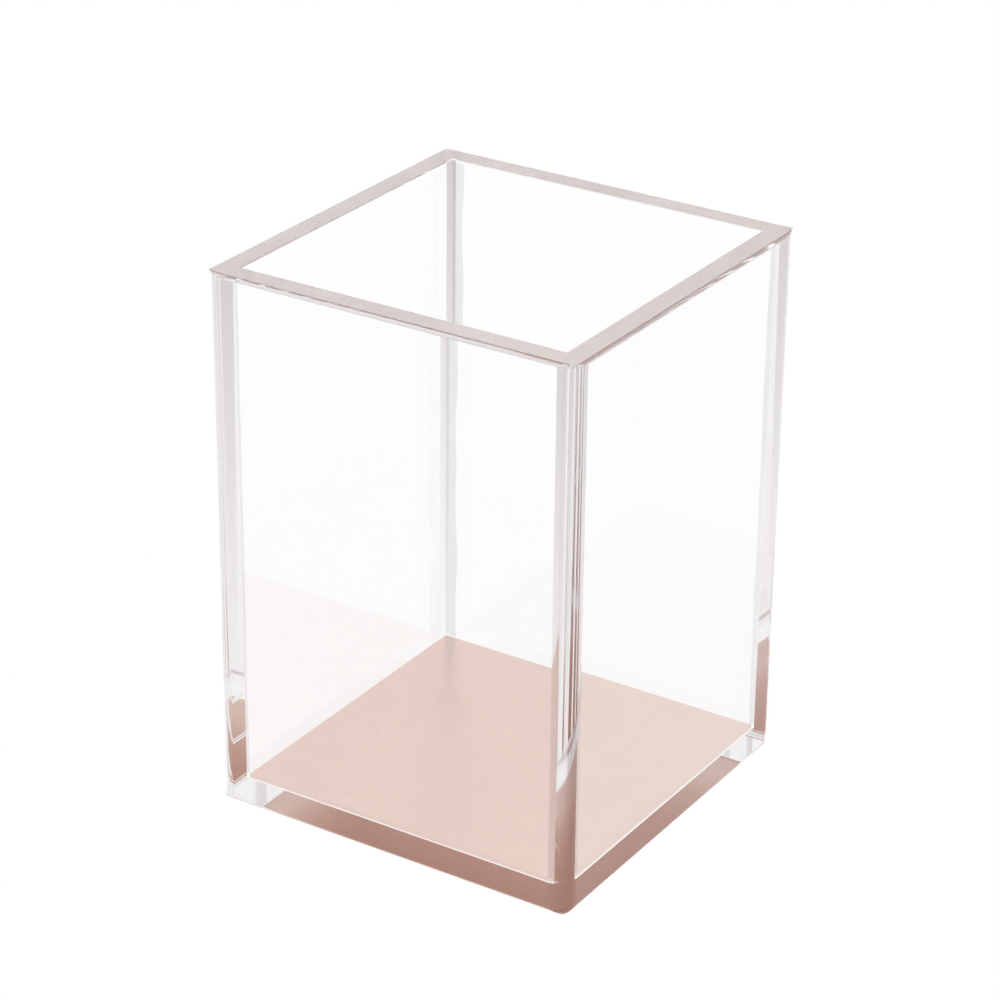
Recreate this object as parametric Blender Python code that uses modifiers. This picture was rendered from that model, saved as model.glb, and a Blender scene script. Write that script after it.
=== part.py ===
"""Open square pot for makeup brushes: clear acrylic walls on a clear base, with a thin blush floor panel."""

import math

import bmesh
import bpy
from mathutils import Matrix, Vector

# Overall size, in metres
pot_width = 0.080
pot_height = 0.111

# Clear sheet for the walls, and the thinner sheet for the base
wall_thickness = 0.0050
base_thickness = 0.0044

# Blush floor panel
panel_thickness = 0.0005
panel_clearance = 0.0004
panel_edge_radius = 0.0001
panel_edge_segments = 2

# Polished edges of the finished pot
corner_radius = 0.0039
rim_radius = 0.0008
mouth_radius = 0.0002
foot_radius = 0.0010
polish_segments = 8

# Cement joints between the pieces
joint_gap = 0.0003

# Spare material around the finished pot before it is trimmed
blank_allowance = 0.0020

# An edge this sharp or sharper is polished
sharp_angle = math.radians(45)

# Colours as linear red, green and blue
clear_colour = (0.930, 0.925, 0.920, 1.0)
clear_roughness = 0.04
clear_refraction = 1.49
blush_colour = (0.807, 0.620, 0.545, 1.0)
blush_roughness = 0.25
blush_metallic = 0.85

half_width = pot_width / 2
inner_half_width = half_width - wall_thickness
seat_height = base_thickness + joint_gap


def empty_scene():
    for thing in list(bpy.data.objects):
        bpy.data.objects.remove(thing, do_unlink=True)


def new_collection(name):
    collection = bpy.data.collections.new(name)
    bpy.context.scene.collection.children.link(collection)
    return collection


def principled_material(name, colour, roughness, metallic):
    material = bpy.data.materials.new(name)
    material.use_nodes = True
    shader = material.node_tree.nodes["Principled BSDF"]
    shader.inputs["Base Color"].default_value = colour
    shader.inputs["Roughness"].default_value = roughness
    shader.inputs["Metallic"].default_value = metallic
    material.diffuse_color = colour
    return material


def clear_acrylic(name):
    material = principled_material(name, clear_colour, clear_roughness, 0)
    shader = material.node_tree.nodes["Principled BSDF"]
    shader.inputs["Transmission Weight"].default_value = 1
    shader.inputs["IOR"].default_value = clear_refraction
    return material


def block(low, high):
    """A box between two opposite corners."""
    low, high = Vector(low), Vector(high)
    size = Matrix.Diagonal((*(high - low), 1))
    box = bmesh.new()
    bmesh.ops.create_cube(box, size=1, matrix=Matrix.Translation((low + high) / 2) @ size)
    return box


def add_object(name, shape, collection, material=None):
    mesh = bpy.data.meshes.new(name)
    shape.to_mesh(mesh)
    shape.free()
    if material:
        mesh.materials.append(material)
    thing = bpy.data.objects.new(name, mesh)
    collection.objects.link(thing)
    return thing


def polish_radius(edge):
    """How far an edge of the finished pot is rounded: hollow and flat edges aren't."""
    if edge.calc_face_angle_signed() < sharp_angle:
        return 0
    heights = [corner.co.z for corner in edge.verts]
    if max(heights) < base_thickness:
        return foot_radius
    if min(heights) < base_thickness:
        return corner_radius
    middle = (edge.verts[0].co + edge.verts[1].co) / 2
    beside_mouth = middle.xy.length < half_width - wall_thickness / 2
    return mouth_radius if beside_mouth else rim_radius


def finished_pot(collection):
    """The walls and base as if they were one piece, with every outward edge polished round."""
    pot = block((-half_width, -half_width, 0), (half_width, half_width, pot_height))
    mouth = [face for face in pot.faces if face.normal.z > math.cos(sharp_angle)]
    bmesh.ops.inset_region(pot, faces=mouth, thickness=wall_thickness, use_even_offset=True)
    sunk = bmesh.ops.extrude_face_region(pot, geom=mouth)["geom"]
    floor_corners = [item for item in sunk if isinstance(item, bmesh.types.BMVert)]
    bmesh.ops.translate(pot, verts=floor_corners, vec=(0, 0, base_thickness - pot_height))
    bmesh.ops.delete(pot, geom=mouth, context="FACES")
    pot.normal_update()

    largest = max(corner_radius, rim_radius, mouth_radius, foot_radius)
    weights = pot.edges.layers.float.new("bevel_weight_edge")
    for edge in pot.edges:
        edge[weights] = polish_radius(edge) / largest

    form = add_object("finished_pot_form", pot, collection)
    form.hide_render = True
    form.display_type = "WIRE"
    polish = form.modifiers.new("polished_edges", "BEVEL")
    polish.limit_method = "WEIGHT"
    polish.width = largest
    polish.segments = polish_segments
    polish.use_clamp_overlap = False
    return form


def cut_from(name, blank, form, collection):
    """One sheet of the pot: its blank, trimmed to the finished form."""
    sheet = add_object(name, blank, collection, clear_acrylic(name))
    trim = sheet.modifiers.new("trim_to_form", "BOOLEAN")
    trim.operation = "INTERSECT"
    trim.solver = "EXACT"
    trim.object = form
    return sheet


def wall(name, reach, quarter_turns, form, collection):
    """An upright sheet that reaches this far to both sides of its middle, on one side of the pot."""
    outside = half_width + blank_allowance
    blank = block(
        (-reach, -outside, seat_height),
        (reach, -inner_half_width, pot_height + blank_allowance),
    )
    turn = Matrix.Rotation(math.radians(90) * quarter_turns, 3, "Z")
    bmesh.ops.rotate(blank, verts=blank.verts, cent=(0, 0, 0), matrix=turn)
    return cut_from(name, blank, form, collection)


def walls(form, collection):
    """The front and back run the full width, and the two sides stand between them."""
    full = half_width + blank_allowance
    between = inner_half_width - joint_gap
    reaches = {"front": full, "right": between, "back": full, "left": between}
    for turns, (side, reach) in enumerate(reaches.items()):
        wall(f"{side}_wall", reach, turns, form, collection)


def base_plate(form, collection):
    """The clear plate under the walls, as wide as the pot."""
    outside = half_width + blank_allowance
    blank = block((-outside, -outside, -blank_allowance), (outside, outside, base_thickness))
    return cut_from("base_plate", blank, form, collection)


def blush_floor_panel(collection):
    """The thin coloured panel that lies on the base plate, inside the walls."""
    reach = inner_half_width - panel_clearance
    shape = block((-reach, -reach, seat_height), (reach, reach, seat_height + panel_thickness))
    name = "blush_floor_panel"
    blush = principled_material(name, blush_colour, blush_roughness, blush_metallic)
    panel = add_object(name, shape, collection, blush)
    soften = panel.modifiers.new("softened_edges", "BEVEL")
    soften.limit_method = "NONE"
    soften.width = panel_edge_radius
    soften.segments = panel_edge_segments
    return panel


def shade(piece):
    """Round edges look smooth, and flat faces stay flat."""
    piece.data.shade_smooth()
    piece.modifiers.new("flat_face_normals", "WEIGHTED_NORMAL")


def build():
    empty_scene()
    pieces = new_collection("makeup_storage_pot")
    helpers = new_collection("cutters")
    form = finished_pot(helpers)
    walls(form, pieces)
    base_plate(form, pieces)
    blush_floor_panel(pieces)
    for piece in pieces.objects:
        shade(piece)


build()
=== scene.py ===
"""The makeup storage pot, dressed: one bonded clear acrylic body round a satin rose-gold floor panel."""

import math

import bmesh
import bpy
from mathutils import Matrix, Vector


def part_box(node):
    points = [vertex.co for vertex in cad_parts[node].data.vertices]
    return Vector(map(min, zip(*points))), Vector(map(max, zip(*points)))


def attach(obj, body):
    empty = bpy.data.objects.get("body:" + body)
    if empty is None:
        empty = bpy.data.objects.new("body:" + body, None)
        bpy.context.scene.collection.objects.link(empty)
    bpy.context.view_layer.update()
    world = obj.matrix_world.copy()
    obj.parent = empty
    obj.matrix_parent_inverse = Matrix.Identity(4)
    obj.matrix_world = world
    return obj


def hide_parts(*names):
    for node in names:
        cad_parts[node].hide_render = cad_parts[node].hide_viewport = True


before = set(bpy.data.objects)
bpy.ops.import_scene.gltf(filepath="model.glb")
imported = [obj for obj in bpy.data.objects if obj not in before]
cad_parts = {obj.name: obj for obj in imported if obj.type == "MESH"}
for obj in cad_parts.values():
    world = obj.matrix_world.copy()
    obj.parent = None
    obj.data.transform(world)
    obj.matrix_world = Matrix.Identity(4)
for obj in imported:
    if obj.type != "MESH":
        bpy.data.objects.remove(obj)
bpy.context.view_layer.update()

MM = 0.001
WHITE = (1.0, 1.0, 1.0, 1.0)

# Polished edges, rounded as on the CAD sheets
CORNER_RADIUS = 3.9 * MM
RIM_RADIUS = 0.8 * MM
MOUTH_RADIUS = 0.2 * MM
FOOT_RADIUS = 1.0 * MM
EDGE_SEGMENTS = 12

# An edge this sharp or sharper is polished, and a face whose normal rises past this faces up
SHARP_ANGLE = math.radians(45)
FACING = 0.9

# The floor panel: how far it is sunk into the clear base, so that no air lies between, and its soft edges
BOND_DEPTH = 0.1 * MM
PANEL_EDGE_RADIUS = 0.1 * MM
PANEL_EDGE_SEGMENTS = 2

# Painted shade: grey strips on the inner faces beside the upright joints. Each has its inner corner, and
# how far it reaches from there
FILM_PLACES = (
    (-1, -1, (0, 0.7 * MM, 0)),
    (1, -1, (0, 2.0 * MM, 0)),
    (1, 1, (0, -2.2 * MM, 0)),
    (-1, 1, (2.6 * MM, 0, 0)),
)
FILM_LIFT = 0.05 * MM
FILM_SHORT = 0.6 * MM

# A film's free edge wanders by this share of its reach, in two waves given as radians over its height
FILM_ROWS = 60
FILM_WANDER = 0.12
LONG_WAVE = 9.0
SHORT_WAVE = 23.0
SHORT_WAVE_SHIFT = 2.3

# Clear acrylic: a pair is the range that the roughness wanders over
ACRYLIC_IOR = 1.49
ABSORPTION = 1.5
ABSORPTION_COLOUR = (0.15, 0.0, 0.02, 1.0)
EDGE_ROUGHNESS = (0.07, 0.11)
RIM_ROUGHNESS = (0.20, 0.26)
POLISH_NOISE = 90
POLISH_STRETCH = (1, 1, 0.15)

# Grey haze of the painted shade strips: its cover is how much of what lies behind it is hidden
PAINTED_SHADE_COLOUR = (0.35, 0.34, 0.34, 1.0)
HAZE_ROUGHNESS = 0.5
HAZE_COVER = (0.17, 0.23)
HAZE_NOISE = 160
HAZE_STRETCH = (1, 1, 0.2)

# Rose-gold panel
TOP_ROUGHNESS = 0.27
UNDERSIDE_ROUGHNESS = 0.32
ROUGHNESS_DRIFT = 0.03
COLOUR_NOISE = 220
COLOUR_DETAIL = 6
SHEEN_NOISE = 60

# The part of the noise's range that is spread from low to high
NOISE_FROM = (0.3, 0.7)

# Studio floor, just under the pot
FLOOR_REACH = 4.0
FLOOR_SQUARES = 4
FLOOR_DROP = 0.3 * MM
FLOOR_COLOUR = (0.9, 0.9, 0.9, 1.0)
FLOOR_ROUGHNESS = 0.8

# The photograph's camera and lens, with the focal length and the picture's width in its pixels
CAMERA_PLACE = Vector((310.871, -489.039, 338.888)) * MM
CAMERA_AZIMUTH = math.radians(32.502)
CAMERA_ELEVATION = math.radians(25.767)
CAMERA_ROLL = math.radians(0.591)
SENSOR = 36.0
IMAGE_PX = 1000.0
FOCAL_PX = 3346.19
NEAREST_SEEN = 0.01

# Bounces: light needs many to find its way along the acrylic sheets
CLEAR_BOUNCES = 96
DIFFUSE_BOUNCES = 6


def srgb(red, green, blue):
    """A colour as the eye reads it on screen, 0 to 255, turned into linear values."""
    def linear(value):
        share = value / 255
        return share / 12.92 if share <= 0.04045 else ((share + 0.055) / 1.055) ** 2.4
    return (linear(red), linear(green), linear(blue), 1.0)


# Beige tint on the rim's top faces: painted light, the pinkish glow seen in the clear rim
RIM_PAINTED_TINT = srgb(238, 229, 222)
TOP_COLOURS = (srgb(236, 209, 197), srgb(239, 212, 200))
# The underside colours are a little darker and deeper than the top's: painted shade, for the dimmer light
# under the panel
SHADED_UNDERSIDE_COLOURS = (srgb(234, 203, 190), srgb(236, 206, 193))


class Sizes:
    """Sizes and places read from the CAD nodes."""
    base_low, base_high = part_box("base_plate")
    wall_low, wall_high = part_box("front_wall")
    panel_low, panel_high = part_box("blush_floor_panel")
    width = base_high.x - base_low.x
    height = wall_high.z - base_low.z
    wall = wall_high.y - wall_low.y
    floor = base_high.z


def new_object(name, bm):
    mesh = bpy.data.meshes.new(name)
    bm.to_mesh(mesh)
    bm.free()
    thing = bpy.data.objects.new(name, mesh)
    bpy.context.scene.collection.objects.link(thing)
    return thing


def block(low, high):
    """A box between two opposite corners."""
    low, high = Vector(low), Vector(high)
    bm = bmesh.new()
    size = Matrix.Diagonal((*(high - low), 1))
    bmesh.ops.create_cube(bm, size=1, matrix=Matrix.Translation((low + high) / 2) @ size)
    return bm


# Materials

def principled(name):
    material = bpy.data.materials.new(name)
    material.use_nodes = True
    tree = material.node_tree
    return material, tree, tree.nodes["Principled BSDF"]


def noise_between(tree, scale, low, high, detail=3.0, stretch=(1, 1, 1)):
    """A value that wanders between low and high over the surface."""
    place = tree.nodes.new("ShaderNodeTexCoord")
    mapping = tree.nodes.new("ShaderNodeMapping")
    mapping.inputs["Scale"].default_value = stretch
    noise = tree.nodes.new("ShaderNodeTexNoise")
    noise.inputs["Scale"].default_value = scale
    noise.inputs["Detail"].default_value = detail
    spread = tree.nodes.new("ShaderNodeMapRange")
    spread.inputs["From Min"].default_value = NOISE_FROM[0]
    spread.inputs["From Max"].default_value = NOISE_FROM[1]
    spread.inputs["To Min"].default_value = low
    spread.inputs["To Max"].default_value = high
    tree.links.new(place.outputs["Object"], mapping.inputs["Vector"])
    tree.links.new(mapping.outputs["Vector"], noise.inputs["Vector"])
    tree.links.new(noise.outputs["Fac"], spread.inputs["Value"])
    return spread.outputs["Result"]


def clear_acrylic(name, roughness=None, tint=WHITE):
    """Clear acrylic, polished flat where no range of roughness is given; a tint other than white is
    painted light.
    """
    material, tree, shader = principled(name)
    shader.inputs["Base Color"].default_value = tint
    shader.inputs["IOR"].default_value = ACRYLIC_IOR
    shader.inputs["Transmission Weight"].default_value = 1.0
    if roughness:
        rough = noise_between(tree, POLISH_NOISE, *roughness, stretch=POLISH_STRETCH)
        tree.links.new(rough, shader.inputs["Roughness"])
    else:
        shader.inputs["Roughness"].default_value = 0.0
    absorb = tree.nodes.new("ShaderNodeVolumeAbsorption")
    absorb.inputs["Density"].default_value = ABSORPTION
    absorb.inputs["Color"].default_value = ABSORPTION_COLOUR
    tree.links.new(absorb.outputs["Volume"], tree.nodes["Material Output"].inputs["Volume"])
    return material


def painted_shade_haze():
    """A thin grey haze beside a joint: painted shade."""
    material, tree, shader = principled("painted_shade_haze")
    # Grey painted shade, laid over the acrylic beside the joints
    shader.inputs["Base Color"].default_value = PAINTED_SHADE_COLOUR
    shader.inputs["Roughness"].default_value = HAZE_ROUGHNESS
    cover = noise_between(tree, HAZE_NOISE, *HAZE_COVER, stretch=HAZE_STRETCH)
    tree.links.new(cover, shader.inputs["Alpha"])
    return material


def blush_metallic(name, colours, roughness):
    """Satin rose gold: a faint drift of colour and sheen over the sheet."""
    material, tree, shader = principled(name)
    colour = tree.nodes.new("ShaderNodeMix")
    colour.data_type = "RGBA"
    colour.inputs["A"].default_value = colours[0]
    colour.inputs["B"].default_value = colours[1]
    drift = noise_between(tree, COLOUR_NOISE, 0.0, 1.0, detail=COLOUR_DETAIL)
    tree.links.new(drift, colour.inputs["Factor"])
    tree.links.new(colour.outputs["Result"], shader.inputs["Base Color"])
    shader.inputs["Metallic"].default_value = 1.0
    rough = noise_between(tree, SHEEN_NOISE, roughness, roughness + ROUGHNESS_DRIFT)
    tree.links.new(rough, shader.inputs["Roughness"])
    return material


# Pieces

def edge_radius(edge, sizes):
    """How far an edge of the pot is rounded: hollow and flat edges aren't."""
    if edge.calc_face_angle_signed() < SHARP_ANGLE:
        return 0.0
    heights = [corner.co.z for corner in edge.verts]
    if max(heights) < sizes.floor:
        return FOOT_RADIUS
    if min(heights) < sizes.floor:
        return CORNER_RADIUS
    middle = (edge.verts[0].co + edge.verts[1].co) / 2
    beside_mouth = middle.xy.length < (sizes.width - sizes.wall) / 2
    return MOUTH_RADIUS if beside_mouth else RIM_RADIUS


def hollow_block(sizes):
    """The walls and base as one sharp-edged body, open at the top."""
    half = sizes.width / 2
    bm = block((-half, -half, 0), (half, half, sizes.height))
    mouth = [face for face in bm.faces if face.normal.z > FACING]
    bmesh.ops.inset_region(bm, faces=mouth, thickness=sizes.wall, use_even_offset=True)
    sunk = bmesh.ops.extrude_face_region(bm, geom=mouth)["geom"]
    corners = [item for item in sunk if isinstance(item, bmesh.types.BMVert)]
    bmesh.ops.translate(bm, verts=corners, vec=(0, 0, sizes.floor - sizes.height))
    bmesh.ops.delete(bm, geom=mouth, context="FACES")
    bm.normal_update()
    return bm


def clear_body(sizes):
    """The five clear pieces shown as one, since cemented acrylic is nearly continuous to the eye."""
    bm = hollow_block(sizes)
    largest = max(CORNER_RADIUS, RIM_RADIUS, MOUTH_RADIUS, FOOT_RADIUS)
    weights = bm.edges.layers.float.new("bevel_weight_edge")
    for edge in bm.edges:
        edge[weights] = edge_radius(edge, sizes) / largest
        edge.smooth = edge[weights] > 0
    for face in bm.faces:
        face.smooth = True
    body = new_object("clear_pot_body", bm)

    # Slot 0 is the flat faces, 1 the polished edges, and 2 the top of the rim, tinted beige with painted
    # light
    body.data.materials.append(clear_acrylic("clear_acrylic_faces"))
    body.data.materials.append(clear_acrylic("clear_acrylic_edges", EDGE_ROUGHNESS))
    body.data.materials.append(clear_acrylic("clear_acrylic_rim", RIM_ROUGHNESS, RIM_PAINTED_TINT))
    soften = body.modifiers.new("polished_edges", "BEVEL")
    soften.limit_method = "WEIGHT"
    soften.width = largest
    soften.segments = EDGE_SEGMENTS
    soften.use_clamp_overlap = False
    soften.material = 1
    soften.harden_normals = True
    for face in body.data.polygons:
        if face.normal.z > FACING and face.center.z > sizes.height / 2:
            face.material_index = 2
    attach(body, "root")
    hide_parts("front_wall", "right_wall", "back_wall", "left_wall", "base_plate")


def painted_shade_strip(bm, low, high, across, phase):
    """An upright strip from a joint's inner corner, whose free edge wanders a little."""
    pairs = []
    for row in range(FILM_ROWS + 1):
        share = row / FILM_ROWS
        long_wave = math.sin(phase + LONG_WAVE * share)
        short_wave = math.sin(SHORT_WAVE_SHIFT * phase + SHORT_WAVE * share)
        reach = 1 + FILM_WANDER * long_wave * short_wave
        foot = low.lerp(high, share)
        pairs.append((bm.verts.new(foot), bm.verts.new(foot + across * reach)))
    for (a, b), (c, d) in zip(pairs, pairs[1:]):
        bm.faces.new((a, b, d, c))


def cement_films(sizes):
    """Grey films of painted shade, on the inner faces beside the upright joints."""
    inside = sizes.width / 2 - sizes.wall - FILM_LIFT
    low_z, high_z = sizes.panel_high.z + FILM_LIFT, sizes.height - FILM_SHORT
    bm = bmesh.new()
    for phase, (x, y, across) in enumerate(FILM_PLACES):
        foot = Vector((x * inside, y * inside, low_z))
        head = Vector((x * inside, y * inside, high_z))
        painted_shade_strip(bm, foot, head, Vector(across), phase)
    films = new_object("cement_films", bm)
    films.data.materials.append(painted_shade_haze())
    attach(films, "root")


def floor_panel(sizes):
    """The rose-gold panel, sunk a little into the base as the bond would hold it."""
    low = Vector((sizes.panel_low.x, sizes.panel_low.y, sizes.floor - BOND_DEPTH))
    panel = new_object("blush_floor_sheet", block(low, sizes.panel_high))
    panel.data.materials.append(blush_metallic("blush_top", TOP_COLOURS, TOP_ROUGHNESS))
    panel.data.materials.append(blush_metallic("blush_underside_shaded", SHADED_UNDERSIDE_COLOURS, UNDERSIDE_ROUGHNESS))
    # Downward faces take the darker underside colours, which are painted shade
    for face in panel.data.polygons:
        face.material_index = 1 if face.normal.z < -FACING else 0
    soften = panel.modifiers.new("softened_edges", "BEVEL")
    soften.limit_method = "NONE"
    soften.width = PANEL_EDGE_RADIUS
    soften.segments = PANEL_EDGE_SEGMENTS
    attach(panel, "root")
    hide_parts("blush_floor_panel")


# Floor, light and camera

def white_where_seen(tree, shaded, output):
    """Plain white for the camera, in reflections and through the acrylic."""
    path = tree.nodes.new("ShaderNodeLightPath")
    seen = path.outputs["Is Camera Ray"]
    for ray in ("Is Glossy Ray", "Is Transmission Ray"):
        either = tree.nodes.new("ShaderNodeMath")
        either.operation = "MAXIMUM"
        tree.links.new(seen, either.inputs[0])
        tree.links.new(path.outputs[ray], either.inputs[1])
        seen = either.outputs["Value"]
    white = tree.nodes.new("ShaderNodeEmission")
    white.inputs["Strength"].default_value = 1.0
    mix = tree.nodes.new("ShaderNodeMixShader")
    tree.links.new(seen, mix.inputs["Fac"])
    tree.links.new(shaded, mix.inputs[1])
    tree.links.new(white.outputs["Emission"], mix.inputs[2])
    tree.links.new(mix.outputs["Shader"], output)


def studio_floor():
    bm = bmesh.new()
    bmesh.ops.create_grid(bm, x_segments=FLOOR_SQUARES, y_segments=FLOOR_SQUARES, size=FLOOR_REACH)
    floor = new_object("studio_floor", bm)
    floor.location.z = -FLOOR_DROP
    material, tree, shader = principled("studio_floor")
    shader.inputs["Base Color"].default_value = FLOOR_COLOUR
    shader.inputs["Roughness"].default_value = FLOOR_ROUGHNESS
    surface = tree.nodes["Material Output"].inputs["Surface"]
    white_where_seen(tree, shader.outputs["BSDF"], surface)
    floor.data.materials.append(material)


def studio_light():
    """An even white surround, which is the only light."""
    world = bpy.data.worlds.new("studio")
    bpy.context.scene.world = world
    world.use_nodes = True
    tree = world.node_tree
    background = tree.nodes["Background"]
    background.inputs["Color"].default_value = WHITE
    surface = tree.nodes["World Output"].inputs["Surface"]
    white_where_seen(tree, background.outputs["Background"], surface)


def camera():
    data = bpy.data.cameras.new("photo_camera")
    data.sensor_width = SENSOR
    data.lens = FOCAL_PX / IMAGE_PX * SENSOR
    data.clip_start = NEAREST_SEEN
    cam = bpy.data.objects.new("photo_camera", data)
    bpy.context.scene.collection.objects.link(cam)
    a, e = CAMERA_AZIMUTH, CAMERA_ELEVATION
    back = Vector((math.sin(a) * math.cos(e), -math.cos(a) * math.cos(e), math.sin(e)))
    right = Vector((math.cos(a), math.sin(a), 0))
    turn = Matrix((right, back.cross(right), back)).transposed()
    turn = turn @ Matrix.Rotation(CAMERA_ROLL, 3, "Z")
    cam.matrix_world = Matrix.Translation(CAMERA_PLACE) @ turn.to_4x4()
    bpy.context.scene.camera = cam


def picture_settings():
    """Bounces enough for clear sheets, and colours that render as they are written."""
    cycles = bpy.context.scene.cycles
    cycles.max_bounces = CLEAR_BOUNCES
    cycles.transmission_bounces = CLEAR_BOUNCES
    cycles.glossy_bounces = CLEAR_BOUNCES
    cycles.diffuse_bounces = DIFFUSE_BOUNCES
    bpy.context.scene.view_settings.view_transform = "Standard"


for leftover in ("Cube", "Light", "Camera"):
    if leftover in bpy.data.objects:
        bpy.data.objects.remove(bpy.data.objects[leftover], do_unlink=True)
sizes = Sizes()
clear_body(sizes)
cement_films(sizes)
floor_panel(sizes)
studio_floor()
studio_light()
camera()
picture_settings()

bpy.context.view_layer.update()
